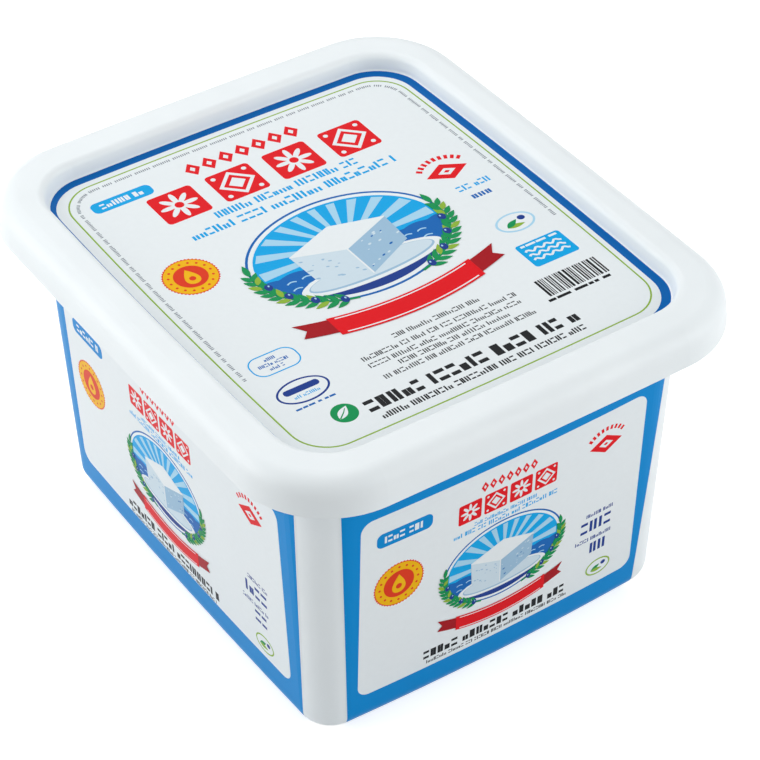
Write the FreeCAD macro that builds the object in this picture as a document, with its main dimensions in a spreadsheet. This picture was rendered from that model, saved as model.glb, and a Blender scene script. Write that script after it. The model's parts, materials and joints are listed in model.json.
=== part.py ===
"""Rectangular polypropylene tub of feta cheese in brine, shut with its press-on lid.

Millimetres, +Z up, origin on the ground under the middle of the tub. The front (-Y) and back are the
narrower walls, the sides (-X and +X) the longer ones. A shut tub can't be seen into, so it is one solid
with what fills it. The lid is a moulded shell that grips the tub's out-turned rim.
"""
import FreeCAD, Part
import math
import os
import Sketcher

os.makedirs("parts", exist_ok=True)
doc = FreeCAD.newDocument("CheeseTub")

# alias, value, what it is
SIZES = [
    ("foot_half_width", 56.6, "tub at the ground, half of its width along X, at the corners"),
    ("foot_half_length", 66.7, "tub at the ground, half of its length along Y, at the corners"),
    ("foot_corner", 9.4, "plan radius of the tub's corners at the ground"),
    ("side_bow", 1.0, "how far the long walls bulge"),
    ("front_bow", 1.7, "how far the short walls bulge"),
    ("wall_draft", 2.35, "degrees by which the walls lean outward"),
    ("body_height", 96.4, "ground to the tub's top face, on which the lid's panel lies"),
    ("foot_round", 5.5, "rounding between walls and base"),
    ("foot_land", 10.5, "distance from the wall to the recess in the base"),
    ("foot_recess", 1.6, "depth of the recess in the base, which leaves a stacking foot"),
    ("foot_recess_corner", 9.0, "plan radius of that recess"),
    ("recess_draft", 30.0, "degrees by which the wall of that recess leans"),
    ("gate_radius", 3.0, "dimple of the injection point, radius"),
    ("gate_depth", 0.5, "dimple of the injection point, depth"),
    ("panel_inset_side", 1.36, "long edges of the lid's sunk panel, how far inside the tub's top edge"),
    ("panel_inset_front", 1.06, "short edges of the sunk panel, how far inside the tub's top edge"),
    ("panel_corner", 14.2, "plan radius of the sunk panel"),
    ("panel_bow_side", 1.2, "bulge of the panel's long edges"),
    ("panel_bow_front", 0.7, "bulge of the panel's short edges"),
    ("panel_draft", 12.0, "degrees by which the wall round the panel leans outward"),
    ("panel_depth", 5.1, "top of the rim down to the panel"),
    ("panel_round", 0.7, "rounding at the foot of the wall round the panel"),
    ("crest_round", 2.3, "rounding from that wall over to the rim's top"),
    ("rim_reach_side", 12.14, "lower edge of the skirt, how far outside the tub's top edge along X"),
    ("rim_reach_front", 13.34, "lower edge of the skirt, how far outside the tub's top edge along Y"),
    ("lid_corner", 27.0, "plan radius of the lid"),
    ("lid_bow", 0.8, "bulge of the lid's edges"),
    ("skirt_draft", 6.5, "degrees by which the skirt leans in toward the top"),
    ("rim_round", 5.6, "outer rounding of the rim"),
    ("shell", 1.35, "wall thickness of the lid"),
    ("edge_round", 0.5, "rounding of the skirt's lower outer edge"),
    ("bead_height", 0.7, "grip bead inside the lower edge of the skirt, height"),
    ("bead_reach", 0.9, "grip bead, how far it stands in from the skirt"),
    ("fit_gap", 0.3, "clearance between the lid and the tub's rim"),
    ("seal_wall", 1.6, "upstanding sealing wall of the tub, thickness"),
    ("seal_height", 3.2, "upstanding sealing wall, height above the tub's top face"),
    ("flange", 1.3, "thickness of the tub's out-turned flange and of its lip"),
    ("lip_drop", 1.55, "how far the lip hangs below the flange"),
]

sheet = doc.addObject("Spreadsheet::Sheet", "Sizes")
for row, (alias, number, note) in enumerate(SIZES, start=1):
    sheet.set(f"A{row}", note)
    sheet.set(f"B{row}", str(number))
    sheet.setAlias(f"B{row}", alias)
doc.recompute()


class Size:
    """A length with the sheet formula that it comes from, so that both follow the same cells."""

    def __init__(self, value, text):
        self.value = value
        self.text = text

    def join(self, sign, other, result):
        other_text = other.text if isinstance(other, Size) else str(other)
        return Size(result, f"({self.text} {sign} {other_text})")

    def __add__(self, other):
        return self.join("+", other, self.value + number_of(other))

    def __sub__(self, other):
        return self.join("-", other, self.value - number_of(other))

    def __mul__(self, other):
        return self.join("*", other, self.value * number_of(other))

    def __truediv__(self, other):
        return self.join("/", other, self.value / number_of(other))


def number_of(size):
    return size.value if isinstance(size, Size) else float(size)


def cell(alias):
    return Size(dict((name, number) for name, number, note in SIZES)[alias], f"Sizes.{alias}")


def lean(draft):
    """How far a wall of this draft moves sideways for each millimetre of height."""
    return Size(math.tan(math.radians(draft.value)), f"tan({draft.text})")


def new_body(label):
    body = doc.addObject("PartDesign::Body", label.capitalize())
    body.Label = label
    return body


def flat_sketch(body, name, height):
    """A sketch parallel to the ground, at a height that the sheet sets."""
    plane = next(item for item in body.Origin.OriginFeatures if item.Role == "XY_Plane")
    sketch = body.newObject("Sketcher::SketchObject", name)
    sketch.AttachmentSupport = [(plane, "")]
    sketch.MapMode = "FlatFace"
    sketch.setExpression(".AttachmentOffset.Base.z", height.text)
    return sketch


def bind(sketch, constraint, size):
    index = sketch.addConstraint(constraint)
    sketch.setExpression(f"Constraints[{index}]", size.text)


def arc(centre, radius, start, end):
    """Arc round centre, counter-clockwise from the point start to the point end."""
    first = math.atan2(start.y - centre.y, start.x - centre.x)
    last = math.atan2(end.y - centre.y, end.x - centre.x)
    if last < first:
        last += 2 * math.pi
    circle = Part.Circle(centre, FreeCAD.Vector(0, 0, 1), radius)
    return Part.ArcOfCircle(circle, first, last)


def bowed_rectangle(sketch, half_width, half_length, corner, bow_side, bow_front):
    """Rounded rectangle whose four edges bulge: eight arcs, each tangent to the next."""
    front_radius = (half_width * half_width + bow_front * bow_front) / (bow_front * 2)
    side_radius = (half_length * half_length + bow_side * bow_side) / (bow_side * 2)
    front_centre = front_radius - half_length - bow_front
    side_centre = side_radius - half_width - bow_side

    # centre of the corner at -X -Y, which keeps both neighbouring arcs tangent
    reach_front = front_radius.value - corner.value
    reach_side = side_radius.value - corner.value
    x = corner.value - half_width.value
    for _ in range(30):
        y = front_centre.value - math.sqrt(reach_front ** 2 - x ** 2)
        x = side_centre.value - math.sqrt(reach_side ** 2 - y ** 2)
    front_end = front_radius.value / reach_front
    side_end = side_radius.value / reach_side
    front_touch = (x * front_end, front_centre.value + (y - front_centre.value) * front_end)
    side_touch = (side_centre.value + (x - side_centre.value) * side_end, y * side_end)

    def at(point, sign_x, sign_y):
        return FreeCAD.Vector(-point[0] * sign_x, -point[1] * sign_y, 0)

    front_middle = FreeCAD.Vector(0, front_centre.value, 0)
    side_middle = FreeCAD.Vector(-side_centre.value, 0, 0)
    quarter = [(1, -1), (1, 1), (-1, 1), (-1, -1)]
    edges = [
        (front_middle, front_radius, at(front_touch, -1, -1), at(front_touch, 1, -1)),
        (side_middle, side_radius, at(side_touch, 1, -1), at(side_touch, 1, 1)),
        (front_middle * -1, front_radius, at(front_touch, 1, 1), at(front_touch, -1, 1)),
        (side_middle * -1, side_radius, at(side_touch, -1, 1), at(side_touch, -1, -1)),
    ]
    first = sketch.GeometryCount
    for turn, (centre, radius, start, end) in enumerate(edges):
        following = edges[(turn + 1) % 4][2]
        sketch.addGeometry(arc(centre, radius.value, start, end), False)
        sketch.addGeometry(arc(at((x, y), *quarter[turn]), corner.value, end, following), False)

    for step in range(8):
        here, after = first + step, first + (step + 1) % 8
        sketch.addConstraint(Sketcher.Constraint("Tangent", here, 2, after, 1))
    front, side, back, far_side = first, first + 2, first + 4, first + 6
    sketch.addConstraint(Sketcher.Constraint("PointOnObject", front, 3, -2))
    sketch.addConstraint(Sketcher.Constraint("PointOnObject", side, 3, -1))
    sketch.addConstraint(Sketcher.Constraint("Symmetric", front, 3, back, 3, -1, 1))
    sketch.addConstraint(Sketcher.Constraint("Symmetric", side, 3, far_side, 3, -1, 1))
    bind(sketch, Sketcher.Constraint("DistanceY", -1, 1, front, 3, front_centre.value), front_centre)
    bind(sketch, Sketcher.Constraint("DistanceX", side, 3, -1, 1, side_centre.value), side_centre)
    for index, radius in ((front, front_radius), (back, front_radius), (side, side_radius),
                          (far_side, side_radius)):
        bind(sketch, Sketcher.Constraint("Radius", index, radius.value), radius)
    for step in range(4):
        index = first + 2 * step + 1
        bind(sketch, Sketcher.Constraint("Radius", index, corner.value), corner)


def outline_sketch(body, name, height, *outlines):
    """Sketch at a height with one closed outline, or with an outer and an inner one for a ring."""
    sketch = flat_sketch(body, name, height)
    for outline in outlines:
        bowed_rectangle(sketch, *outline)
    return sketch


def grown(outline, amount):
    """The same outline, moved outward everywhere by amount."""
    half_width, half_length, corner, bow_side, bow_front = outline
    return (half_width + amount, half_length + amount, corner + amount, bow_side, bow_front)


def shrunk(outline, amount):
    half_width, half_length, corner, bow_side, bow_front = outline
    return (half_width - amount, half_length - amount, corner - amount, bow_side, bow_front)


def extrusion(body, kind, name, sketch, length, downward=False, taper=None):
    """Pad or Pocket of a sketch over a length; a taper widens it on its way. Its effect is checked."""
    before = 0.0 if body.Shape.isNull() else body.Shape.Volume
    feature = body.newObject(f"PartDesign::{kind}", name)
    feature.Profile = sketch
    feature.setExpression("Length", length.text)
    feature.Reversed = downward if kind == "Pad" else not downward
    if taper:
        feature.setExpression("TaperAngle", taper.text)
    doc.recompute()
    if abs(body.Shape.Volume - before) < 1.0:
        raise RuntimeError(f"{name} changes nothing")
    return feature


def level_edges(feature, height):
    """Names of the edges that lie at one height."""
    names = []
    for number, edge in enumerate(feature.Shape.Edges, start=1):
        box = edge.BoundBox
        if abs(box.ZMin - height) < 0.01 and abs(box.ZMax - height) < 0.01:
            names.append(f"Edge{number}")
    return names


def within(feature, names, outline, margin):
    """Of these edges, the ones that lie inside an outline grown by a margin."""
    reach_x = outline[0].value + outline[3].value + margin
    reach_y = outline[1].value + outline[4].value + margin
    kept = []
    for name in names:
        box = feature.Shape.getElement(name).BoundBox
        if max(abs(box.XMin), abs(box.XMax)) < reach_x and max(abs(box.YMin), abs(box.YMax)) < reach_y:
            kept.append(name)
    return kept


def rounded(body, name, base, edges, radius):
    feature = body.newObject("PartDesign::Fillet", name)
    feature.Base = (base, edges)
    feature.setExpression("Radius", radius.text)
    doc.recompute()
    return feature


GROUND = Size(0.0, "0")
BODY_TOP = cell("body_height")
PANEL_TOP = BODY_TOP + cell("shell")
LID_TOP = PANEL_TOP + cell("panel_depth")
LIP_EDGE = BODY_TOP - cell("flange") - cell("lip_drop")
SKIRT_EDGE = LIP_EDGE - cell("fit_gap") - cell("bead_height")
RIM_CEILING = LID_TOP - cell("shell")

FOOT = (cell("foot_half_width"), cell("foot_half_length"), cell("foot_corner"),
        cell("side_bow"), cell("front_bow"))
WALL_TOP = grown(FOOT, lean(cell("wall_draft")) * BODY_TOP)
PANEL = (WALL_TOP[0] - cell("panel_inset_side"), WALL_TOP[1] - cell("panel_inset_front"),
         cell("panel_corner"), cell("panel_bow_side"), cell("panel_bow_front"))
SKIRT = (WALL_TOP[0] + cell("rim_reach_side"), WALL_TOP[1] + cell("rim_reach_front"),
         cell("lid_corner"), cell("lid_bow"), cell("lid_bow"))
SKIRT_INSIDE = shrunk(SKIRT, cell("shell"))

# outlines at the height of the tub's top face: inside of the skirt, and outside of the wall round the panel
RIM_INSIDE = shrunk(SKIRT_INSIDE, lean(cell("skirt_draft")) * (BODY_TOP - SKIRT_EDGE))
PANEL_WALL = grown(PANEL, cell("shell") - lean(cell("panel_draft")) * cell("shell"))
PANEL_OPEN = grown(PANEL, lean(cell("panel_draft")) * cell("panel_depth"))

# cuts the corner inside the rim so far that the wall is as thick there as elsewhere
INSIDE_BEVEL = (cell("rim_round") - cell("shell")) * (2 - math.sqrt(2))

FLANGE = shrunk(RIM_INSIDE, cell("fit_gap"))
SEAL_INSIDE = grown(PANEL_WALL, lean(cell("panel_draft")) * cell("seal_height") + cell("fit_gap"))


def make_tub():
    """Drafted, slightly bulging walls on a stacking foot, with a sealing wall and a flanged rim."""
    body = new_body("tub")
    foot = outline_sketch(body, "FootOutline", GROUND, FOOT)
    walls = extrusion(body, "Pad", "Walls", foot, BODY_TOP, taper=cell("wall_draft"))
    rounded(body, "FootRound", walls, level_edges(walls, GROUND.value), cell("foot_round"))

    land = cell("foot_land")
    recess_outline = (FOOT[0] - land, FOOT[1] - land, cell("foot_recess_corner"), FOOT[3], FOOT[4])
    recess_sketch = outline_sketch(body, "RecessOutline", GROUND, recess_outline)
    extrusion(body, "Pocket", "BaseRecess", recess_sketch, cell("foot_recess"),
              taper=cell("recess_draft") * -1)

    gate = flat_sketch(body, "GateCircle", cell("foot_recess"))
    circle = Part.Circle(FreeCAD.Vector(0, 0, 0), FreeCAD.Vector(0, 0, 1), cell("gate_radius").value)
    gate.addGeometry(circle, False)
    gate.addConstraint(Sketcher.Constraint("Coincident", 0, 3, -1, 1))
    bind(gate, Sketcher.Constraint("Radius", 0, cell("gate_radius").value), cell("gate_radius"))
    extrusion(body, "Pocket", "GateDimple", gate, cell("gate_depth"))

    flange_sketch = outline_sketch(body, "FlangeOutline", BODY_TOP, FLANGE)
    extrusion(body, "Pad", "Flange", flange_sketch, cell("flange"), downward=True)
    lip_sketch = outline_sketch(body, "LipRing", BODY_TOP - cell("flange"), FLANGE,
                                shrunk(FLANGE, cell("flange")))
    extrusion(body, "Pad", "Lip", lip_sketch, cell("lip_drop"), downward=True)
    seal_sketch = outline_sketch(body, "SealRing", BODY_TOP, grown(SEAL_INSIDE, cell("seal_wall")),
                                 SEAL_INSIDE)
    extrusion(body, "Pad", "SealingWall", seal_sketch, cell("seal_height"))
    return body


def make_lid():
    """Shell with a broad rounded rim round a sunk panel, and a grip bead inside its skirt."""
    body = new_body("lid")
    outline = outline_sketch(body, "SkirtOutline", SKIRT_EDGE, SKIRT)
    extrusion(body, "Pad", "RimBlank", outline, LID_TOP - SKIRT_EDGE, taper=cell("skirt_draft") * -1)
    inside = outline_sketch(body, "InsideOutline", SKIRT_EDGE, SKIRT_INSIDE)
    hollow = extrusion(body, "Pocket", "Inside", inside, RIM_CEILING - SKIRT_EDGE,
                       taper=cell("skirt_draft") * -1)
    bevel = body.newObject("PartDesign::Chamfer", "InsideBevel")
    bevel.Base = (hollow, level_edges(hollow, RIM_CEILING.value))
    bevel.setExpression("Size", INSIDE_BEVEL.text)
    doc.recompute()

    wall_sketch = outline_sketch(body, "PanelWallOutline", BODY_TOP, PANEL_WALL)
    extrusion(body, "Pad", "PanelWall", wall_sketch, LID_TOP - BODY_TOP - cell("shell") * 0.5,
              taper=cell("panel_draft"))

    floor = outline_sketch(body, "PanelOutline", PANEL_TOP, PANEL)
    sunk = extrusion(body, "Pocket", "SunkPanel", floor, cell("panel_depth"), taper=cell("panel_draft"))
    foot = rounded(body, "PanelRound", sunk, level_edges(sunk, PANEL_TOP.value), cell("panel_round"))
    crest_edges = within(foot, level_edges(foot, LID_TOP.value), PANEL_OPEN, 0.5)
    crest = rounded(body, "CrestRound", foot, crest_edges, cell("crest_round"))
    rim_edges = [name for name in level_edges(crest, LID_TOP.value)
                 if name not in within(crest, [name], PANEL_OPEN, cell("crest_round").value + 0.5)]
    rim = rounded(body, "RimRound", crest, rim_edges, cell("rim_round"))

    inner_edges = within(rim, level_edges(rim, SKIRT_EDGE.value), SKIRT_INSIDE, 0.1)
    lower_edges = [name for name in level_edges(rim, SKIRT_EDGE.value) if name not in inner_edges]
    rounded(body, "EdgeRound", rim, lower_edges, cell("edge_round"))
    bead_sketch = outline_sketch(body, "BeadRing", SKIRT_EDGE, shrunk(SKIRT, cell("shell") * 0.5),
                                 shrunk(SKIRT_INSIDE, cell("bead_reach")))
    extrusion(body, "Pad", "GripBead", bead_sketch, cell("bead_height"))
    return body


bodies = [make_tub(), make_lid()]
doc.recompute()

for item in doc.Objects:
    if "Invalid" in item.State or "Error" in item.State:
        raise RuntimeError(f"{item.Label} did not compute: {item.State}")
for body in bodies:
    if body.Shape.isNull() or not body.Shape.isValid() or len(body.Shape.Solids) != 1:
        raise RuntimeError(f"{body.Label} is not one valid solid")
    body.Shape.exportStep(f"parts/{body.Label}.step")
    print(body.Label, round(body.Shape.Volume), body.Shape.BoundBox)
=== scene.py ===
"""Looks of a shut polypropylene tub of white cheese in brine: moulded plastic, in-mould printed labels,
a plain stage and a camera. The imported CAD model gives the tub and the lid; the labels are laid on them.
"""
import bisect
import json
import math
import random

import bmesh
import bpy
from mathutils import Matrix, Vector
from mathutils.bvhtree import BVHTree

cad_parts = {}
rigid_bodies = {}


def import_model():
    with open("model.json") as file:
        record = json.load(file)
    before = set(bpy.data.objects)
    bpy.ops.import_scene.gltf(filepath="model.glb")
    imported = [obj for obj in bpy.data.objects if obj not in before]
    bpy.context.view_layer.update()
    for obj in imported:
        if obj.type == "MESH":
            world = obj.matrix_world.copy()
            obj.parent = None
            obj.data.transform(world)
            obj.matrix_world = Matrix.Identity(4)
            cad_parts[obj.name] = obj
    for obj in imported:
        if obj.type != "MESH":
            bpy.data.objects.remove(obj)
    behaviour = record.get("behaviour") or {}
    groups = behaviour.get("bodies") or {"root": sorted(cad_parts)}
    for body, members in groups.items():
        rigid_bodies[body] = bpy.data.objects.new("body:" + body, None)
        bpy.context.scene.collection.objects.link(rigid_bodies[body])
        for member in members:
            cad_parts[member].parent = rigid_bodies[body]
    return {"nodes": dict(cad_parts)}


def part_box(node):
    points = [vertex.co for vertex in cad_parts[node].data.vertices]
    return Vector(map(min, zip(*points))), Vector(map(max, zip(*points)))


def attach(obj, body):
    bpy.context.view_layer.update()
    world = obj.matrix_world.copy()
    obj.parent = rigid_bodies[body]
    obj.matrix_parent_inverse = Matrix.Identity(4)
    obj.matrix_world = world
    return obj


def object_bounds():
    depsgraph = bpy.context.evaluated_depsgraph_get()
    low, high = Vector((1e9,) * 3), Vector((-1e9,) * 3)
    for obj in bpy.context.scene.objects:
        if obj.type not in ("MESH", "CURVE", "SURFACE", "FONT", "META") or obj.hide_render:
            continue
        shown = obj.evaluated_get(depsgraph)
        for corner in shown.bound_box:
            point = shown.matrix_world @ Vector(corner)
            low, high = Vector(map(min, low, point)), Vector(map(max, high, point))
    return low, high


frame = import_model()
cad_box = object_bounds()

bl_info = {
    "name": "Cheese tub looks",
    "version": (1, 0, 0),
    "blender": (4, 5, 0),
    "location": "View3D > Sidebar > Cheese tub",
    "description": "Finishes a moulded tub and lid, lays their printed labels on and sets up the stage",
    "category": "Object",
}

MM = 0.001
UP = Vector((0, 0, 1))
TUB_LOW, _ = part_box("tub")
LID_LOW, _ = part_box("lid")

# Shapes that share a layer are kept apart by hairs of a layer, given out in turn, so that none flickers
HAIR, HAIR_TURNS = 0.12, 7

# The lid's label is flat, so its grid has only four nodes, at these distances from the middle in mm
LID_SHEET = (60.0, 71.0)
# Outward bulge of the lid label's outlines to the sides and up and down, in mm, like the panel's own
LID_LABEL_BOW = (1.2, 0.7)

# Lower edge of the wall labels, in mm: below zero they run on round the foot's rounding
LABEL_FOOT = -1.6
# Zone next to a wall label's side edges, in mm, that bends most and has a finer grid
BEND_ZONE = 14
# Widest grid steps of a wall label, in mm: round the foot, up the wall, in the bend zones and between them
STEP_FOOT, STEP_UP, STEP_BEND, STEP_BETWEEN = 0.6, 12.0, 1.0, 5.0
# Print of a short (front and back) and of a long wall, in mm from the wall's middle and from the ground:
# the blue frame's left and right edge (place at the ground, drift outward for each mm of height), the white
# panel's left and right edge, the panel's lower edge, and the middle of the title
SHORT_WALL = (((48.7, 0.033), (47.2, 0.060)), (-45.4, 45.3), 11.0, 0.0)
LONG_WALL = (((59.6, 0.048), (59.2, 0.036)), (-55.7, 54.3), 12.2, -4.0)
# name, outward direction, print, seed
WALL_LABELS = (
    ("front_label", Vector((0, -1, 0)), SHORT_WALL, 21),
    ("right_label", Vector((1, 0, 0)), LONG_WALL, 22),
    ("back_label", Vector((0, 1, 0)), SHORT_WALL, 23),
    ("left_label", Vector((-1, 0, 0)), LONG_WALL, 24))
LID_SEED = 11

# The paper under the tub: half its width in m, the share of light it throws back, and its glow. The glow is
# seen but lights nothing, and rises with the distance from the tub in m up to the white of the background
PAPER_HALF, PAPER_SHARE = 3.0, 0.70
PAPER_GLOW = {"From Min": 0.28, "From Max": 1.0, "To Min": 0.66, "To Max": 1.0}
# Light that comes from all round, besides the lamps
ROOM_COLOUR, ROOM_LIGHT = (0.96, 0.98, 1.0, 1), 0.3

# name, azimuth and elevation in degrees, distance and size in m, power in W
LAMPS = (
    ("softbox_front_right", 42, 24, 1.0, 0.7, 4.9),
    ("softbox_front", -5, 22, 1.0, 0.6, 0.8),
    ("softbox_left", -120, 24, 1.0, 0.8, 6.0),
    ("softbox_top_left", -90, 60, 0.9, 0.7, 0.4),
    ("softbox_top_back", 170, 55, 0.9, 0.8, 3.0))

# Camera: azimuth, elevation and roll in degrees, aim and distance in mm, lens and sensor width in mm
CAMERA_AZIMUTH, CAMERA_ELEVATION, CAMERA_ROLL = -34.05, 39.84, -0.334
CAMERA_AIM, CAMERA_DISTANCE = (-25.0, -49.0, 97.75), 682.4
CAMERA_LENS, CAMERA_SENSOR = 128.9, 36.0


def linear(code):
    """Linear colour of an sRGB hex value."""
    channels = (int(code[place:place + 2], 16) / 255 for place in (1, 3, 5))
    return tuple(c / 12.92 if c <= 0.04045 else ((c + 0.055) / 1.055) ** 2.4 for c in channels)


def length(name, default, description):
    """Property for a size, its default given in mm."""
    return bpy.props.FloatProperty(name=name, description=description, default=default * MM,
                                   unit="LENGTH", precision=5)


def colour(name, code, description):
    """Property for a colour, its default given as an sRGB hex value."""
    return bpy.props.FloatVectorProperty(name=name, description=description, default=linear(code),
                                         subtype="COLOR", size=3, min=0, max=1)


class TUB_PG_colours(bpy.types.PropertyGroup):
    """Colours of the plastic and of the printing inks."""
    plastic: colour("Polypropylene", "#ECF2F4", "White, slightly cool moulded polypropylene")
    film_white: colour("Film white", "#EAF0F2", "White printed on the label film")
    frame_blue: colour("Frame blue", "#008AD2", "Blue of the label frames")
    ring_blue: colour("Ring blue", "#0062B0", "Blue of the ring round the lid's panel")
    sky: colour("Sky blue", "#0AA6E6", "Light blue of pictures and badges")
    deep: colour("Deep blue", "#1466B4", "Darker blue of pictures and some rows of bars")
    navy: colour("Navy", "#1B3C8C", "Navy of the small marks and of some rows of bars")
    pale: colour("Pale blue", "#A9D6EE", "Pale blue rays and highlights in pictures")
    curd: colour("Curd", "#CFE0EA", "Lit side of the block of cheese")
    curd_shade: colour("Curd shade", "#9DBFD8", "Shaded side of the block of cheese")
    red: colour("Red", "#E2101C", "Red of the tiles, lozenges and ribbons")
    dark_red: colour("Dark red", "#A50F1B", "Folded ends of the ribbon")
    green: colour("Green", "#0F9152", "Green of leaves and round marks")
    lime: colour("Lime", "#8FB43C", "Thin line round the lid's label")
    gold: colour("Gold", "#F2B90F", "Golden disc")
    orange: colour("Orange red", "#DE3A1C", "Edge and heart of the golden disc")
    black: colour("Black", "#1E2023", "Black of the boldest rows of bars")
    grey: colour("Grey", "#7C858E", "Grey of the finest strokes round the lid's label")


class TUB_PG_sizes(bpy.types.PropertyGroup):
    """Sizes of the labels and of their parts."""
    film: length("Film lift", 0.05, "How far the label film stands proud of the plastic")
    ink: length("Ink lift", 0.010, "Extra lift of each further layer of ink")
    foot_round: length("Foot rounding", 5.5, "Rounding of the tub's lower edge, round which the labels run")
    panel_top: length("Panel head", 75.0, "Ground to the upper edge of a wall label's white panel")
    label_top: length("Label head", 90.5, "Ground to the upper edge of a wall label, under the lid")


# ---------------------------------------------------------------------------------------------
# Materials
# ---------------------------------------------------------------------------------------------

def add_node(tree, kind, inputs=None, **settings):
    """Adds a node; inputs maps each socket's name or number to a value or to the socket that feeds it."""
    node = tree.nodes.new(kind)
    for key, value in settings.items():
        setattr(node, key, value)
    for key, value in (inputs or {}).items():
        if isinstance(value, bpy.types.NodeSocket):
            tree.links.new(value, node.inputs[key])
        else:
            node.inputs[key].default_value = value
    return node


def new_material(name):
    """An empty material and its node tree."""
    material = bpy.data.materials.new(name)
    material.use_nodes = True
    material.node_tree.nodes.clear()
    return material, material.node_tree


def moulded_polypropylene(name, base):
    """Injection-moulded white polypropylene. Light enters it a little, so its shadows are soft and milky;
    its skin is satin, faintly uneven from shrinkage, and dulled here and there by handling."""
    sink, pore, touch = 22 * MM, 0.5 * MM, 6 * MM
    material, tree = new_material(name)
    place = add_node(tree, "ShaderNodeTexCoord").outputs["Object"]
    shrinkage = add_node(tree, "ShaderNodeTexNoise", {"Vector": place, "Scale": 1 / sink, "Detail": 2.0})
    skin = add_node(tree, "ShaderNodeTexNoise", {"Vector": place, "Scale": 1 / pore, "Detail": 3.0})
    handling = add_node(tree, "ShaderNodeTexNoise", {"Vector": place, "Scale": 1 / touch, "Detail": 4.0})
    tint = add_node(tree, "ShaderNodeMix", {
        "Factor": add_node(tree, "ShaderNodeMapRange", {
            "Value": shrinkage.outputs["Fac"], "From Min": 0.3, "From Max": 0.7}).outputs["Result"],
        "A": (*[c * 0.975 for c in base], 1.0), "B": (*base, 1.0)}, data_type="RGBA")
    gloss = add_node(tree, "ShaderNodeMapRange", {
        "Value": handling.outputs["Fac"], "From Min": 0.3, "From Max": 0.7, "To Min": 0.38, "To Max": 0.48})
    waves = add_node(tree, "ShaderNodeBump", {
        "Height": shrinkage.outputs["Fac"], "Strength": 0.25, "Distance": 0.25 * MM})
    grain = add_node(tree, "ShaderNodeBump", {
        "Height": skin.outputs["Fac"], "Strength": 0.15, "Distance": 0.012 * MM,
        "Normal": waves.outputs["Normal"]})
    shader = add_node(tree, "ShaderNodeBsdfPrincipled", {
        "Base Color": tint.outputs["Result"], "Roughness": gloss.outputs["Result"],
        "Normal": grain.outputs["Normal"], "IOR": 1.49, "Subsurface Weight": 0.25,
        "Subsurface Radius": (1.0, 1.0, 1.0), "Subsurface Scale": 1.2 * MM})
    add_node(tree, "ShaderNodeOutputMaterial", {"Surface": shader.outputs["BSDF"]})
    return material


def printed_film(name, ink):
    """Offset ink under a thin matt polypropylene film. It is even, with a faint mottle where the ink took
    unevenly and a very slight orange peel. The film's mirror light is weak, so the print keeps its colour
    when it is seen at a low angle."""
    blot, dimple = 1.6 * MM, 3 * MM
    material, tree = new_material(name)
    place = add_node(tree, "ShaderNodeTexCoord").outputs["Object"]
    mottle = add_node(tree, "ShaderNodeTexNoise", {"Vector": place, "Scale": 1 / blot, "Detail": 4.0})
    peel = add_node(tree, "ShaderNodeTexNoise", {"Vector": place, "Scale": 1 / dimple, "Detail": 2.0})
    density = add_node(tree, "ShaderNodeMix", {
        "Factor": mottle.outputs["Fac"],
        "A": (*[c * 0.975 for c in ink], 1.0), "B": (*[min(1.0, c * 1.015) for c in ink], 1.0)},
        data_type="RGBA")
    skin = add_node(tree, "ShaderNodeBump", {
        "Height": peel.outputs["Fac"], "Strength": 0.2, "Distance": 0.02 * MM})
    shader = add_node(tree, "ShaderNodeBsdfPrincipled", {
        "Base Color": density.outputs["Result"], "Normal": skin.outputs["Normal"],
        "Roughness": 0.28, "IOR": 1.49, "Specular IOR Level": 0.05})
    add_node(tree, "ShaderNodeOutputMaterial", {"Surface": shader.outputs["BSDF"]})
    return material


def ink_material(ink):
    """The printed film of one ink, made once."""
    name = f"in_mould_film_{ink}"
    found = bpy.data.materials.get(name)
    return found or printed_film(name, getattr(bpy.context.scene.tub_colours, ink))


# ---------------------------------------------------------------------------------------------
# Flat artwork, in millimetres on a label's own sheet: x to the right, y up
# ---------------------------------------------------------------------------------------------

class Artwork:
    """Flat shapes of one label. Each has an ink, a layer and an outline; it covers those on lower layers."""

    def __init__(self, seed):
        self.shapes = []
        self.random = random.Random(seed)

    def add(self, ink, layer, outline):
        """Adds a shape, its outline turned so that it faces outward."""
        area = sum(a[0] * b[1] - b[0] * a[1] for a, b in zip(outline, outline[1:] + outline[:1]))
        hair = len(self.shapes) % HAIR_TURNS * HAIR
        self.shapes.append((ink, layer + hair, outline if area > 0 else outline[::-1]))


def placed(outline, x=0.0, y=0.0, scale=1.0, turn=0.0):
    """The outline turned, scaled and moved."""
    c, s = math.cos(turn) * scale, math.sin(turn) * scale
    return [(x + px * c - py * s, y + px * s + py * c) for px, py in outline]


def oval(x, y, radius_x, radius_y=None, steps=40):
    """Ellipse round a middle point, or a circle; with four steps, a diamond."""
    radius_y = radius_x if radius_y is None else radius_y
    angles = (2 * math.pi * step / steps for step in range(steps))
    return [(x + radius_x * math.cos(a), y + radius_y * math.sin(a)) for a in angles]


def card(x, y, width, height, corner=0.0):
    """Rectangle round a middle point, with rounded corners if asked."""
    if corner == 0:
        return [(x - width / 2, y - height / 2), (x + width / 2, y - height / 2),
                (x + width / 2, y + height / 2), (x - width / 2, y + height / 2)]
    outline = []
    for quarter, (sx, sy) in enumerate(((1, 1), (-1, 1), (-1, -1), (1, -1))):
        for step in range(9):
            a = math.pi / 2 * (quarter + step / 8)
            outline.append((x + sx * (width / 2 - corner) + corner * math.cos(a),
                            y + sy * (height / 2 - corner) + corner * math.sin(a)))
    return outline


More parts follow.
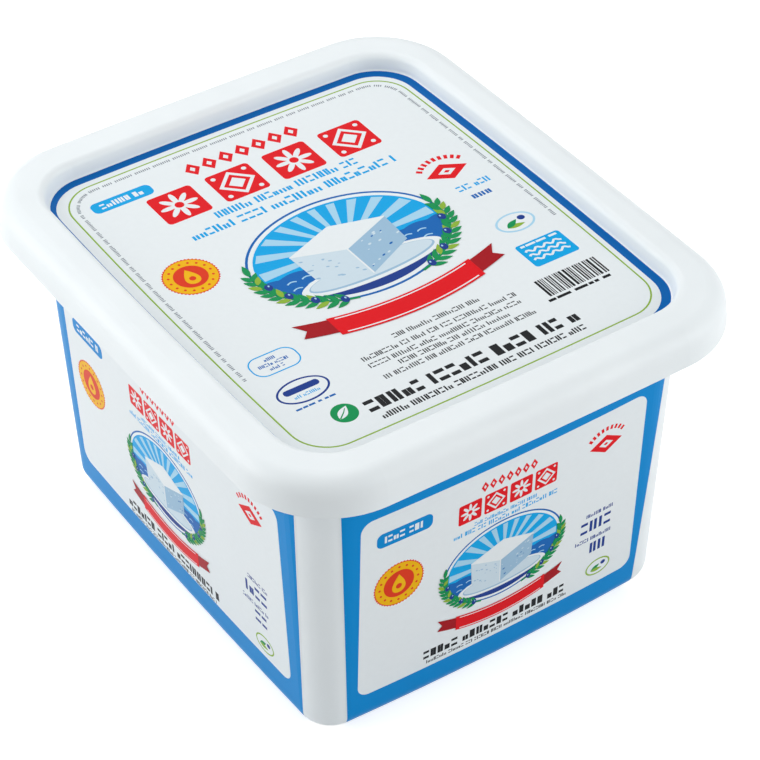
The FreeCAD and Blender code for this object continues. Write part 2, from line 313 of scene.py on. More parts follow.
def bowed_card(half_width, half_length, corner, bow_x, bow_y, steps=24):
    """Rounded rectangle round the origin whose edges bulge by bow_x to the sides and bow_y up and down."""
    outline = []
    for quarter, (sx, sy) in enumerate(((1, 1), (-1, 1), (-1, -1), (1, -1))):
        corner_at = (sx * (half_width - corner), sy * (half_length - corner))
        for step in range(steps // 2 + 1):
            a = math.pi / 2 * (quarter + 2 * step / steps)
            outline.append((corner_at[0] + corner * math.cos(a), corner_at[1] + corner * math.sin(a)))
        across = quarter % 2 == 0
        reach = half_width - corner if across else half_length - corner
        for step in range(1, steps):
            along = reach * (1 - 2 * step / steps)
            outline.append((sx * along, sy * half_length) if across else (sx * half_width, sy * along))
    return [(x * (1 + bow_x / half_width * (1 - (y / half_length) ** 2)),
             y * (1 + bow_y / half_length * (1 - (x / half_width) ** 2))) for x, y in outline]


def leaf(x, y, turn, size, width):
    """Lens-shaped leaf that grows from a point."""
    upper = [(size * t / 10, width / 2 * math.sin(math.pi * (t / 10) ** 0.85)) for t in range(11)]
    lower = [(px, -py) for px, py in reversed(upper[1:-1])]
    return placed(upper + lower, x, y, turn=turn)


def flower(x, y, radius, petals=8):
    """Flower in one outline, its petals pointed."""
    outline = []
    for step in range(petals * 12):
        a = 2 * math.pi * step / (petals * 12)
        reach = radius * (0.34 + 0.66 * abs(math.cos(petals * a / 2)) ** 1.6)
        outline.append((x + reach * math.cos(a), y + reach * math.sin(a)))
    return outline


def strip(points, width, taper=1.0):
    """Band of a width along a line of points; its far end is taper times as wide."""
    left, right = [], []
    for number, (x, y) in enumerate(points):
        ahead = points[min(number + 1, len(points) - 1)]
        behind = points[max(number - 1, 0)]
        dx, dy = ahead[0] - behind[0], ahead[1] - behind[1]
        half = width / 2 * (1 + (taper - 1) * number / (len(points) - 1)) / math.hypot(dx, dy)
        left.append((x - dy * half, y + dx * half))
        right.append((x + dy * half, y - dx * half))
    return left + right[::-1]


def ring_quads(outer, inner):
    """Quads between two outlines of as many points."""
    count = len(outer)
    for here in range(count):
        after = (here + 1) % count
        yield [outer[here], outer[after], inner[after], inner[here]]


def text_line(art, ink, layer, left, right, y, height, weight=0.24):
    """A row of words made of short bars, some level, some upright, in place of lettering. weight is the
    bars' thickness as a share of the row's height."""
    x, thick = left, weight * height
    while x < right - 0.5 * height:
        for _ in range(art.random.randint(3, 9)):
            wide = height * art.random.uniform(0.5, 0.68)
            if x + wide > right:
                break
            middle = x + wide / 2
            kind = art.random.choice(("level", "upright", "mixed", "single"))
            if kind == "level":
                for side in (-1, 1):
                    art.add(ink, layer, card(middle, y + side * (height - thick) / 2, wide, thick))
            elif kind == "single":
                wide *= 0.5
                art.add(ink, layer, card(x + wide / 2, y, thick, height))
            else:
                tall = height if kind == "upright" else height * 0.62
                low = y - (height - tall) / 2
                for side in (-1, 1):
                    art.add(ink, layer, card(middle + side * (wide - thick) / 2, low, thick, tall))
            x += wide + height * 0.17
        x += height * 0.42


def walk(path, reach):
    """The point that lies reach along a line of points, and the line's direction there."""
    number = 0
    while number < len(path) - 2 and reach > math.dist(path[number], path[number + 1]):
        reach -= math.dist(path[number], path[number + 1])
        number += 1
    (x, y), ahead = path[number], path[number + 1]
    run = math.dist((x, y), ahead)
    dx, dy = (ahead[0] - x) / run, (ahead[1] - y) / run
    return (x + dx * reach, y + dy * reach), (dx, dy)


def dashes(art, ink, layer, start, end, height):
    """A row of dashes of mixed lengths on a straight line, for small print."""
    total, done = math.dist(start, end), 0.0
    while done < total - height:
        word = min(art.random.uniform(0.8, 3.0) * height, total - done)
        ends = [walk((start, end), reach)[0] for reach in (done, done + word)]
        art.add(ink, layer, strip(ends, height * 0.66))
        done += word + height * art.random.choice((0.3, 0.3, 0.9))


def fine_print(art, ink, layer, path, height):
    """Words of fine upright strokes along a line of points, for the smallest print."""
    total = sum(math.dist(a, b) for a, b in zip(path, path[1:]))
    done, word = 0.0, 5
    while done < total - height:
        (x, y), (dx, dy) = walk(path, done)
        tall = height * art.random.choice((0.7, 0.8))
        art.add(ink, layer, strip([(x, y), (x - dy * tall, y + dx * tall)], height * 0.26))
        word -= 1
        done += height * (0.52 if word else 1.2)
        if not word:
            word = art.random.randint(3, 9)


def tiles(art, ink, layer, x, y, width, height):
    """Four square tiles with flowers and lozenges in turn left white."""
    size = height * 1.04
    step = (width - size) / 3
    for number in range(4):
        middle = x + (number - 1.5) * step
        art.add(ink, layer, card(middle, y, size, height, height * 0.09))
        if number % 2 == 0:
            art.add("film_white", layer + 1, flower(middle, y, height * 0.43))
            art.add(ink, layer + 2, oval(middle, y, height * 0.1, steps=24))
        else:
            for reach, shade, rise in ((0.43, "film_white", 1), (0.32, ink, 2), (0.2, "film_white", 3)):
                art.add(shade, layer + rise, oval(middle, y, height * reach, steps=4))
            for sx in (-0.37, 0.37):
                for sy in (-0.35, 0.35):
                    dot = oval(middle + sx * height, y + sy * height, height * 0.055, steps=16)
                    art.add("film_white", layer + 1, dot)


def lozenges(art, ink, layer, x, y, width, height, count):
    """A row of small diamonds, each with a white heart."""
    step = width / count
    for number in range(count):
        middle = x - width / 2 + (number + 0.5) * step
        art.add(ink, layer, oval(middle, y, step * 0.44, height / 2, 4))
        art.add("film_white", layer + 1, oval(middle, y, step * 0.16, height * 0.19, 4))


def emblem(art, x, y, scale):
    """Cheese block on a plate before the sea, between olive twigs, with a blank ribbon below. Its shapes are
    drawn in mm round its own middle, for a scale of 1."""
    def add(ink, layer, outline):
        art.add(ink, layer, placed(outline, x, y, scale))

    middle, wide, tall = 3.0, 29.0, 20.5
    add("deep", 2, oval(0, middle, wide + 2.1, tall + 2.1, 72))
    add("film_white", 3, oval(0, middle, wide + 1.3, tall + 1.3, 72))
    add("sky", 4, oval(0, middle, wide, tall, 72))

    # rays behind the cheese
    for ray in range(11):
        a = math.radians(2 + 17.6 * ray)
        edges = []
        for turn in (a - 0.065, a + 0.065):
            reach = 1 / math.hypot(math.cos(turn) / (wide - 0.8), math.sin(turn) / (tall - 0.8))
            edges.append([(8 * math.cos(turn), middle + 8 * math.sin(turn)),
                          (reach * math.cos(turn), middle + reach * math.sin(turn))])
        add("pale", 5, [edges[0][0], edges[0][1], edges[1][1], edges[1][0]])

    # sea in two waves
    for ink, layer, level, pitch in (("deep", 6, 0.5, 8.2), ("navy", 7, -9.0, 6.4)):
        reach = wide * math.sqrt(1 - ((level - middle) / tall) ** 2) - 0.5
        xs = [reach * (1 - 2 * step / 64) for step in range(65)]
        surf = [(px, level + 0.8 * abs(math.sin(math.pi * px / pitch))) for px in xs]
        keel = [(px, middle - tall * math.sqrt(max(0.0, 1 - (px / wide) ** 2))) for px in reversed(xs)]
        add(ink, layer, surf + keel)
    for row in (-2.6, -5.8):
        for start in (-24.0, -19.2, -14.4, 14.4, 19.2):
            crest = [(start + t, row + 0.5 * math.sin(math.pi * t / 3)) for t in (0, 0.75, 1.5, 2.25, 3)]
            add("pale", 7, strip(crest, 0.45))

    # plate
    add("film_white", 8, oval(0, -8.8, 23.0, 5.6, 56))
    add("curd_shade", 9, oval(0, -8.6, 20.6, 4.5, 56))
    add("curd", 10, oval(0, -8.3, 20.0, 4.0, 56))

    # block of cheese, its cut sides full of small pores
    back, left, near, right = (-0.5, 13.6), (-17.0, 7.4), (-1.5, 1.8), (15.6, 8.8)
    left_foot, near_foot, right_foot = (-16.2, -5.2), (-1.3, -11.4), (15.0, -3.6)
    add("curd", 11, [left, left_foot, near_foot, near])
    add("curd_shade", 11, [near, near_foot, right_foot, right])
    add("film_white", 11, [back, left, near, right])
    for start, end in ((left, near), (near, right), (near, near_foot)):
        add("film_white", 12, strip([start, end], 0.5))
    for pore in range(34):
        share, drop = art.random.uniform(0.06, 0.94), art.random.uniform(0.1, 0.9)
        start, end, foot = (left, near, near_foot) if pore % 2 else (near, right, near_foot)
        px = start[0] + (end[0] - start[0]) * share
        py = start[1] + (end[1] - start[1]) * share + drop * (foot[1] - near[1])
        size = art.random.uniform(0.3, 0.72)
        ink = "curd_shade" if pore % 2 else "curd"
        if pore % 8 == 0:
            ink = "deep"
        lean = -0.35 if pore % 2 else 0.4
        add(ink, 12, placed(oval(0, 0, size, size * 0.5, 10), px, py, turn=lean))

    # olive twigs
    for side in (-1, 1):
        stem = []
        for step in range(15):
            a = math.radians(-70 + 5.6 * step)
            stem.append((side * (wide + 1.8) * math.cos(a), middle + (tall + 2.0) * math.sin(a)))
        add("green", 13, strip(stem, 0.8, 0.4))
        for number in range(1, 14):
            before, (px, py), after = stem[number - 1:number + 2]
            along = math.atan2(after[1] - before[1], after[0] - before[0])
            for lean in (0.66, -0.66):
                ink = "lime" if (number + (lean > 0)) % 4 == 0 else "green"
                add(ink, 14, leaf(px, py, along + lean, 5.2 - 0.1 * number, 1.75))
        for number in (2, 5, 8, 11):
            px, py = stem[number]
            add("navy", 15, oval(px - side * 1.6, py - 0.4, 1.15, 1.5, 20))
            add("pale", 16, oval(px - side * 1.9, py + 0.1, 0.28, 0.42, 10))
        add("green", 14, leaf(*stem[-1], math.pi / 2 + side * 0.12, 5.4, 1.9))

    # ribbon: tails first, then the band
    def arch(px, drop):
        """Height of the bowed ribbon's line at px, lowered by drop."""
        return -25.0 + 0.0052 * px * px - drop

    for side in (-1, 1):
        ends = [side * px for px in (19.0, 22.5, 26.0, 29.5, 33.0)]
        upper = [(px, arch(px, -0.6)) for px in ends]
        lower = [(px, arch(px, 5.6)) for px in ends]
        add("dark_red", 15, upper + [(side * 30.6, arch(31.0, 2.5))] + lower[::-1])
    xs = [-23.5 + 47 * step / 24 for step in range(25)]
    add("red", 16, [(px, arch(px, 6.9)) for px in xs] + [(px, arch(px, -1.2)) for px in reversed(xs)])
    for drop in (-0.35, 6.05):
        add("film_white", 17, strip([(px, arch(px, drop)) for px in xs[1:-1]], 0.42))


def gold_disc(art, x, y, radius):
    """Golden disc with a notched red edge and a drop in its red heart."""
    edge = []
    for step in range(96):
        a = 2 * math.pi * step / 96
        reach = radius * (1.0 if step % 2 else 0.955)
        edge.append((x + reach * math.cos(a), y + reach * math.sin(a)))
    art.add("orange", 2, edge)
    art.add("gold", 3, oval(x, y, radius * 0.93, steps=56))
    art.add("orange", 4, oval(x, y, radius * 0.60))
    for step in range(16):
        a = 2 * math.pi * step / 16
        art.add("orange", 4, oval(x + radius * 0.76 * math.cos(a), y + radius * 0.76 * math.sin(a),
                                  radius * 0.05, steps=10))
    drop = []
    for step in range(32):
        a = 2 * math.pi * step / 32
        wide = math.sin(a) * math.sin(a / 2) ** 1.2
        drop.append((x + radius * 0.36 * wide, y + radius * 0.42 * math.cos(a)))
    art.add("gold", 5, drop)
    art.add("orange", 6, oval(x, y - radius * 0.12, radius * 0.12, steps=16))


def pill(art, x, y, width, height, ink):
    """Rounded bar with a line of white blocks."""
    art.add(ink, 2, card(x, y, width, height, height * 0.36))
    text_line(art, "film_white", 3, x - width * 0.36, x + width * 0.38, y, height * 0.46, 0.28)


def red_diamond(art, x, y, radius):
    """Red diamond with a white heart under an arc of small blocks."""
    diamonds = (("red", 2, 1.3, 0.74), ("film_white", 3, 0.56, 0.32), ("red", 4, 0.2, 0.12))
    for ink, layer, wide, tall in diamonds:
        art.add(ink, layer, oval(x, y, radius * wide, radius * tall, 4))
    block = card(0, 0, radius * 0.2, radius * 0.34)
    for step in range(9):
        a = math.radians(140 - 12.5 * step)
        across, rise = radius * 1.66 * math.cos(a), radius * 1.5 * math.sin(a) - radius * 0.22
        art.add("red", 2, placed(block, x + across, y + rise, turn=a - math.pi / 2))


def sprig(art, x, y, scale):
    """Two olive leaves and an olive."""
    art.add("green", 4, leaf(x - 3.4 * scale, y - 1.3 * scale, 0.48, 4.8 * scale, 1.9 * scale))
    art.add("lime", 4, leaf(x - 3.4 * scale, y - 1.3 * scale, -0.05, 5.6 * scale, 1.7 * scale))
    art.add("navy", 4, oval(x + 2.5 * scale, y + 0.9 * scale, 1.15 * scale, 1.0 * scale))


def bars(art, x, y, width, height):
    """Upright bars of mixed widths over a row of dashes."""
    left = x - width / 2
    while left < x + width / 2 - 0.5:
        thick = art.random.choice((0.26, 0.26, 0.5, 0.75))
        art.add("black", 2, card(left + thick / 2, y, thick, height))
        left += thick + art.random.choice((0.3, 0.3, 0.6))
    foot = y - height / 2 - 1.4
    dashes(art, "black", 2, (x - width / 2 - 1.5, foot), (x + width / 2 - 0.5, foot), 1.5)


def small_marks(art, x, y, step):
    """Three plain marks one under another: framed lines, a navy bar and a green disc with a leaf."""
    for quad in ring_quads(card(x, y, 14.0, 8.2, 3.4), card(x, y, 13.2, 7.4, 3.0)):
        art.add("sky", 2, quad)
    for row, width in ((1.9, 4.0), (0.0, 9.4), (-1.9, 5.0)):
        text_line(art, "deep", 2, x - width / 2, x + width / 2, y + row, 1.2)
    y -= step
    art.add("navy", 2, oval(x, y, 7.5, 4.6, 48))
    art.add("film_white", 3, oval(x, y, 6.9, 4.0, 48))
    art.add("navy", 4, card(x, y + 0.9, 10.4, 2.2, 1.0))
    text_line(art, "sky", 4, x - 3.6, x + 3.8, y - 1.7, 1.2)
    dashes(art, "deep", 2, (x - 5.8, y - 5.9), (x + 5.8, y - 5.9), 1.0)
    y -= step
    art.add("green", 2, oval(x + 3.6, y, 3.6))
    art.add("film_white", 3, leaf(x + 1.4, y - 1.5, 0.75, 5.4, 2.6))
    art.add("green", 4, strip([(x + 1.5, y - 1.4), (x + 3.4, y + 0.2), (x + 4.6, y + 1.5)], 0.4, 0.5))


# ---------------------------------------------------------------------------------------------
# Laying artwork on the plastic
# ---------------------------------------------------------------------------------------------

def cad_surface(node):
    """Search tree of a CAD node's surface."""
    mesh = frame["nodes"][node].data
    return BVHTree.FromPolygons([v.co.copy() for v in mesh.vertices], [p.vertices[:] for p in mesh.polygons])


def first_hit(tree, target, outward, reach=60 * MM):
    """Where a look from outside along -outward, through target, meets the surface."""
    hit, normal, _, _ = tree.ray_cast(target + outward * reach, -outward, 2 * reach)
    if hit is None:
        raise RuntimeError(f"no plastic under the label at {tuple(target)}")
    return hit, normal


def lay_label(name, art, place, nodes_x, nodes_y):
    """Mesh of an artwork's shapes on the plastic. place(x, y) gives a point of the plastic and its outward
    direction at each node of a grid. The shapes are cut along the grid's lines and bend with it, so that
    all layers lie on one sheet."""
    on_line = 1e-4  # mm within which a corner counts as lying on a grid line
    sizes = bpy.context.scene.tub_sizes
    inks = sorted({ink for ink, _, _ in art.shapes})
    grid = {(i, j): place(x * MM, y * MM) for i, x in enumerate(nodes_x) for j, y in enumerate(nodes_y)}

    def bent(x, y):
        """Point and outward direction of the bent sheet, between the four nodes round a place."""
        i = min(max(bisect.bisect_right(nodes_x, x) - 1, 0), len(nodes_x) - 2)
        j = min(max(bisect.bisect_right(nodes_y, y) - 1, 0), len(nodes_y) - 2)
        across = (x - nodes_x[i]) / (nodes_x[i + 1] - nodes_x[i])
        upward = (y - nodes_y[j]) / (nodes_y[j + 1] - nodes_y[j])
        return [grid[i, j][part].lerp(grid[i + 1, j][part], across).lerp(
            grid[i, j + 1][part].lerp(grid[i + 1, j + 1][part], across), upward) for part in (0, 1)]

    sheet = bmesh.new()
    for ink, layer, outline in art.shapes:
        face = sheet.faces.new([sheet.verts.new((x, y, layer)) for x, y in outline])
        face.material_index = inks.index(ink)
        face.normal_update()
    bmesh.ops.triangulate(sheet, faces=sheet.faces[:])
    for axis, nodes in ((Vector((1, 0, 0)), nodes_x), (Vector((0, 1, 0)), nodes_y)):
        for node in nodes[1:-1]:
            everything = sheet.verts[:] + sheet.edges[:] + sheet.faces[:]
            bmesh.ops.bisect_plane(sheet, geom=everything, plane_co=axis * node, plane_no=axis, dist=on_line)
    for vertex in sheet.verts:
        layer = vertex.co.z
        point, outward = bent(vertex.co.x, vertex.co.y)
        vertex.co = point + outward.normalized() * (sizes.film + sizes.ink * (layer - 1))
    mesh = bpy.data.meshes.new(name)
    sheet.to_mesh(mesh)
    sheet.free()
    for ink in inks:
        mesh.materials.append(ink_material(ink))
    label = bpy.data.objects.new(name, mesh)
    bpy.context.scene.collection.objects.link(label)
    backing = label.modifiers.new("Film thickness", "SOLIDIFY")
    backing.thickness = sizes.film
    backing.offset = -1
    return label


def even_steps(low, high, widest):
    """Even steps from low to high, none wider than widest."""
    count = math.ceil((high - low) / widest)
    return [low + (high - low) * number / count for number in range(count + 1)]


def lid_art():
    """Artwork on the lid's sunk panel: blue ring, thin lime line, tiles and lozenges, emblem and small print.
    Its shapes are drawn in mm round the lid's middle."""
    art = Artwork(LID_SEED)

    # blue ring, narrower to the left and to the front, where the print sits a little off the middle
    outside = bowed_card(59.0, 69.35, 13.6, *LID_LABEL_BOW)
    inside = [(x * (1.027 if x < 0 else 1.0), y * (1.01 if y < 0 else 1.0))
              for x, y in bowed_card(56.2, 66.6, 11.2, *LID_LABEL_BOW)]
    art.add("film_white", 1, inside)
    for quad in ring_quads(outside, inside):
        art.add("ring_blue", 1, quad)

    # lime line
    lime_outside = bowed_card(54.75, 64.7, 10.4, *LID_LABEL_BOW)
    lime_inside = bowed_card(54.3, 64.25, 10.0, *LID_LABEL_BOW)
    for quad in ring_quads(lime_outside, lime_inside):
        art.add("lime", 2, quad)

    # fine print along the right side, the head and the left side
    track = bowed_card(52.6, 62.7, 8.6, *LID_LABEL_BOW)
    track = [point for point in track if point[1] > (-34 if point[0] < 0 else -20)]
    track.sort(key=lambda point: math.atan2(-point[0], point[1] + 5))
    fine_print(art, "grey", 2, track, 1.2)

    # badge, title and emblem
    pill(art, -39.6, 54.4, 18.7, 4.9, "sky")
    lozenges(art, "red", 2, -0.4, 55.5, 37.6, 6.2, 7)
    tiles(art, "red", 2, -0.3, 43.3, 69.5, 13.4)
    text_line(art, "sky", 2, -22.5, 23.0, 33.5, 2.9)
    text_line(art, "sky", 2, -33.0, 33.5, 28.5, 3.2)
    emblem(art, -0.2, -0.9, 0.96)

    # marks at both sides
    gold_disc(art, -42.1, 14.2, 7.9)
    red_diamond(art, 40.8, 14.8, 5.2)
    text_line(art, "sky", 2, 38.0, 48.8, 5.9, 2.4)
    text_line(art, "deep", 2, 39.6, 47.6, 1.5, 3.0)
    art.add("pale", 2, oval(42.4, -14.8, 6.0, 4.1))
    art.add("film_white", 3, oval(42.4, -14.8, 5.3, 3.5))
    sprig(art, 42.4, -14.8, 1.0)
    art.add("sky", 2, card(42.4, -29.1, 14.4, 10.4, 1.0))
    for row in (-1.4, -3.4, -5.4):
        wave = [(36.6 + 0.6 * step, -26.0 + row + 0.55 * math.sin(1.25 * step)) for step in range(20)]
        art.add("film_white", 3, strip(wave, 0.7))
    dashes(art, "film_white", 3, (36.6, -25.0), (48.4, -25.0), 1.2)
    bars(art, 40.5, -42.5, 19.8, 7.4)
    small_marks(art, -43.0, -28.0, 13.3)

    # print below the emblem
    for left, right, y in ((-12.5, 14.5, -36.4), (-24.3, 24.8, -40.0), (-24.3, 24.8, -43.1),
                           (-17.0, 17.8, -45.9), (-23.5, 23.7, -48.8)):
        text_line(art, "black", 2, left, right, y, 1.7, 0.2)
    text_line(art, "black", 2, -33.8, 33.4, -56.0, 4.4, 0.3)
    text_line(art, "black", 2, -32.4, 31.4, -61.0, 2.0)
    return art


def wall_art(sides, panel_sides, foot, centre, seed):
    """Artwork on a wall: blue frame, white panel, and a print like the lid's, smaller. SHORT_WALL and
    LONG_WALL say what the arguments are."""
    sizes = bpy.context.scene.tub_sizes
    head, top = sizes.panel_top / MM, sizes.label_top / MM
    art = Artwork(seed)

    # white film with a rounded foot, and the blue frame a little inside it
    corner_reach, corner_rise = 3.2, 1.5
    for ink, layer, inset in (("film_white", 1, 0.0), ("frame_blue", 2, 0.38)):
        drop = corner_rise - (LABEL_FOOT + inset)
        rows = [top - inset] + list(range(80, 0, -10)) + [corner_rise]
        edges = []
        for sign, (at_ground, drift) in zip((-1, 1), sides):
            edge = [(sign * (at_ground + drift * y - inset), y) for y in rows]
            for a in (0.4, 0.8, 1.2, math.pi / 2):
                across = at_ground - inset - corner_reach * (1 - math.cos(a))
                edge.append((sign * across, corner_rise - drop * math.sin(a)))
            edges.append(edge)
        art.add(ink, layer, edges[1] + edges[0][::-1])

    panel_left, panel_right = panel_sides
    middle_x, middle_y = (panel_left + panel_right) / 2, (foot + head) / 2
    art.add("film_white", 3, card(middle_x, middle_y, panel_right - panel_left, head - foot, 3.6))

    # the print, two layers up: left and right are the middles of the marks at the panel's sides
    left, right = panel_left + 13.2, panel_right - 13.3
    small = Artwork(seed + 1)
    pill(small, left, 66.3, 16.8, 5.0, "frame_blue")
    gold_disc(small, left - 1.4, 48.4, 7.7)
    lozenges(small, "red", 2, centre, 69.4, 18.2, 3.6, 7)
    tiles(small, "red", 2, centre, 62.7, 31.5, 6.9)
    text_line(small, "sky", 2, centre - 10.6, centre + 10.4, 57.4, 1.2)
    text_line(small, "sky", 2, centre - 17.0, centre + 16.8, 55.5, 1.5)
    emblem(small, centre - 0.4, 38.4, 0.62)
    red_diamond(small, right, 63.8, 4.2)
    text_line(small, "navy", 2, right - 4.4, right + 5.2, 39.0, 1.3)
    text_line(small, "navy", 2, right - 6.0, right + 5.8, 34.8, 4.0)
    text_line(small, "navy", 2, right - 7.6, right + 5.2, 29.9, 1.3)
    text_line(small, "navy", 2, right - 2.2, right + 5.6, 26.0, 3.8)
    small.add("lime", 2, oval(right + 1.4, 17.2, 4.3, 3.0))
    small.add("film_white", 3, oval(right + 1.4, 17.2, 3.8, 2.5))
    sprig(small, right + 1.4, 17.2, 0.72)
    text_line(small, "black", 2, centre - 25.0, centre + 23.8, 15.9, 2.9, 0.3)
    text_line(small, "black", 2, centre - 24.0, centre + 22.6, 13.0, 1.2)
    art.shapes += [(ink, layer + 2, outline) for ink, layer, outline in small.shapes]
    return art


# ---------------------------------------------------------------------------------------------
# Operators
# ---------------------------------------------------------------------------------------------

class TUB_OT_plastic(bpy.types.Operator):
    """Give the tub and the lid their moulded polypropylene"""
    bl_idname = "tub.plastic"
    bl_label = "Finish tub and lid"

    def execute(self, context):
        base = context.scene.tub_colours.plastic
        for node in ("tub", "lid"):
            material = moulded_polypropylene(f"moulded_polypropylene_{node}", base)
            for slot in frame["nodes"][node].material_slots:
                slot.material = material
        return {"FINISHED"}


class TUB_OT_lid_label(bpy.types.Operator):
    """Lay the printed label on the lid's sunk panel"""
    bl_idname = "tub.lid_label"
    bl_label = "Lid label"

    def execute(self, context):
        panel, _ = first_hit(cad_surface("lid"), Vector((0, 0, LID_LOW.z)), UP)
        half_x, half_y = LID_SHEET

        def place(x, y):
            return Vector((x, y, panel.z)), UP

        label = lay_label("lid_label", lid_art(), place, [-half_x, half_x], [-half_y, half_y])
        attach(label, "root")
        return {"FINISHED"}


class TUB_OT_wall_labels(bpy.types.Operator):
    """Lay the four printed labels on the tub's walls"""
    bl_idname = "tub.wall_labels"
    bl_label = "Wall labels"

    def execute(self, context):
        radius, top = context.scene.tub_sizes.foot_round, context.scene.tub_sizes.label_top / MM
        tree = cad_surface("tub")
        far = 200 * MM
        nodes_y = even_steps(LABEL_FOOT, radius / MM, STEP_FOOT) + even_steps(radius / MM, top, STEP_UP)[1:]
        for name, outward, print_sizes, seed in WALL_LABELS:
            across = UP.cross(outward)

            def place(x, y, outward=outward, across=across):
                """On the wall at height y; where the foot rounds off, y goes on along its arc."""
                if y >= radius:
                    return first_hit(tree, across * x + UP * y, outward, far)
                rim, _ = first_hit(tree, across * x + UP * radius, outward, far)
                turn = (radius - y) / radius
                look = outward * math.cos(turn) - UP * math.sin(turn)
                return first_hit(tree, rim - outward * radius, look, 3 * radius)

            reach = max(at_ground + drift * top for at_ground, drift in print_sizes[0])
            right_side = even_steps(reach - BEND_ZONE, reach, STEP_BEND)
            left_side = [-x for x in right_side[::-1]]
            between = even_steps(BEND_ZONE - reach, reach - BEND_ZONE, STEP_BETWEEN)[1:-1]
            nodes_x = left_side + between + right_side
            label = lay_label(name, wall_art(*print_sizes, seed), place, nodes_x, nodes_y)
            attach(label, "root")
        return {"FINISHED"}


def sight(tree):
    """1 for rays that see the background, directly, mirrored or through something clear, and 0 for light."""
    path = add_node(tree, "ShaderNodeLightPath")
    mirrored = add_node(tree, "ShaderNodeMath", {
        0: path.outputs["Is Camera Ray"], 1: path.outputs["Is Glossy Ray"]}, operation="MAXIMUM")
    any_way = add_node(tree, "ShaderNodeMath", {
        0: mirrored.outputs[0], 1: path.outputs["Is Transmission Ray"]}, operation="MAXIMUM")
    return any_way.outputs[0]


def direction(azimuth, elevation):
    """Direction from the tub: azimuth in degrees from the front towards the right, elevation from level."""
    a, e = math.radians(azimuth), math.radians(elevation)
    return Vector((math.sin(a) * math.cos(e), -math.cos(a) * math.cos(e), math.sin(e)))


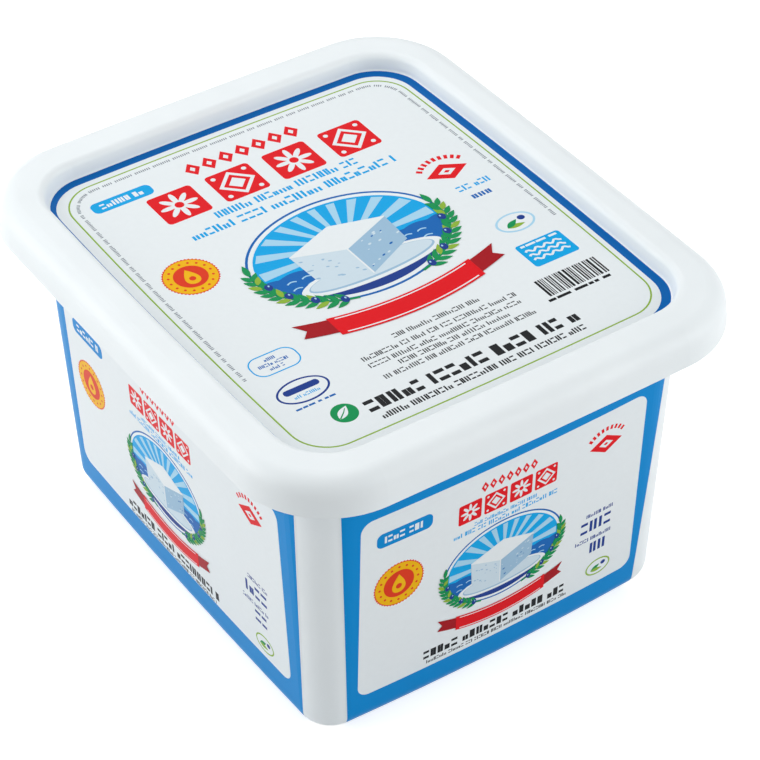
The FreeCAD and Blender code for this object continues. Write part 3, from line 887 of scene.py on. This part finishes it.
class TUB_OT_stage(bpy.types.Operator):
    """Put a pale floor, soft lights and the camera round the tub"""
    bl_idname = "tub.stage"
    bl_label = "Stage"

    def execute(self, context):
        # dull white paper: a soft shadow of the tub lies on it, and further away it fades into the background
        material, tree = new_material("white_paper_sweep")
        place = add_node(tree, "ShaderNodeTexCoord")
        away = add_node(tree, "ShaderNodeVectorMath", {0: place.outputs["Object"]}, operation="LENGTH")
        paler = add_node(tree, "ShaderNodeMapRange", {"Value": away.outputs["Value"], **PAPER_GLOW},
                         interpolation_type="SMOOTHSTEP")
        glow = add_node(tree, "ShaderNodeMath", {0: sight(tree), 1: paler.outputs[0]}, operation="MULTIPLY")
        grey = (PAPER_SHARE, PAPER_SHARE, PAPER_SHARE, 1.0)
        paper = add_node(tree, "ShaderNodeBsdfDiffuse", {"Color": grey})
        lit = add_node(tree, "ShaderNodeEmission", {"Color": (1, 1, 1, 1), "Strength": glow.outputs[0]})
        both = add_node(tree, "ShaderNodeAddShader", {0: paper.outputs[0], 1: lit.outputs[0]})
        add_node(tree, "ShaderNodeOutputMaterial", {"Surface": both.outputs[0]})
        mesh = bpy.data.meshes.new("floor")
        corners = [(x * PAPER_HALF, y * PAPER_HALF, 0) for x, y in ((-1, -1), (1, -1), (1, 1), (-1, 1))]
        mesh.from_pydata(corners, [], [(0, 1, 2, 3)])
        mesh.materials.append(material)
        floor = bpy.data.objects.new("floor", mesh)
        floor.location.z = TUB_LOW.z - 0.05 * MM
        context.scene.collection.objects.link(floor)

        world = bpy.data.worlds.new("studio")
        context.scene.world = world
        world.use_nodes = True
        sky = world.node_tree
        sky.nodes.clear()
        white = add_node(sky, "ShaderNodeBackground", {"Color": (1, 1, 1, 1), "Strength": 1.0})
        room = add_node(sky, "ShaderNodeBackground", {"Color": ROOM_COLOUR, "Strength": ROOM_LIGHT})
        either = add_node(sky, "ShaderNodeMixShader", {
            0: sight(sky), 1: room.outputs[0], 2: white.outputs[0]})
        add_node(sky, "ShaderNodeOutputWorld", {"Surface": either.outputs[0]})

        middle = (cad_box[0] + cad_box[1]) / 2
        for name, azimuth, elevation, distance, size, power in LAMPS:
            toward = direction(azimuth, elevation)
            data = bpy.data.lights.new(name, "AREA")
            data.size = size
            data.energy = power
            lamp = bpy.data.objects.new(name, data)
            lamp.location = middle + toward * distance
            lamp.rotation_euler = toward.to_track_quat("Z", "Y").to_euler()
            context.scene.collection.objects.link(lamp)

        back = direction(CAMERA_AZIMUTH, CAMERA_ELEVATION)
        data = bpy.data.cameras.new("camera")
        data.sensor_width = CAMERA_SENSOR
        data.lens = CAMERA_LENS
        data.clip_start, data.clip_end = 0.05, 20.0
        camera = bpy.data.objects.new("camera", data)
        camera.location = Vector(CAMERA_AIM) * MM + back * CAMERA_DISTANCE * MM
        roll = Matrix.Rotation(math.radians(CAMERA_ROLL), 3, "Z")
        turn = back.to_track_quat("Z", "Y").to_matrix() @ roll
        camera.rotation_euler = turn.to_euler()
        context.scene.collection.objects.link(camera)
        context.scene.camera = camera
        context.scene.view_settings.view_transform = "Standard"
        return {"FINISHED"}


class TUB_PT_panel(bpy.types.Panel):
    """Steps that finish the tub"""
    bl_idname = "TUB_PT_panel"
    bl_label = "Cheese tub"
    bl_space_type = "VIEW_3D"
    bl_region_type = "UI"
    bl_category = "Cheese tub"

    def draw(self, context):
        for step in STEPS:
            self.layout.operator(step.bl_idname)
        for group in (context.scene.tub_sizes, context.scene.tub_colours):
            for key in group.bl_rna.properties.keys():
                if key not in ("rna_type", "name"):
                    self.layout.prop(group, key)


STEPS = (TUB_OT_plastic, TUB_OT_lid_label, TUB_OT_wall_labels, TUB_OT_stage)
CLASSES = (TUB_PG_colours, TUB_PG_sizes, *STEPS, TUB_PT_panel)


def register():
    for item in CLASSES:
        bpy.utils.register_class(item)
    bpy.types.Scene.tub_colours = bpy.props.PointerProperty(type=TUB_PG_colours)
    bpy.types.Scene.tub_sizes = bpy.props.PointerProperty(type=TUB_PG_sizes)


def unregister():
    del bpy.types.Scene.tub_sizes
    del bpy.types.Scene.tub_colours
    for item in reversed(CLASSES):
        bpy.utils.unregister_class(item)


def main():
    for leftover in [o for o in bpy.context.scene.objects if o.name in ("Cube", "Light", "Camera")]:
        bpy.data.objects.remove(leftover)
    register()
    bpy.ops.tub.plastic()
    bpy.ops.tub.lid_label()
    bpy.ops.tub.wall_labels()
    bpy.ops.tub.stage()


if __name__ == "__main__":
    main()
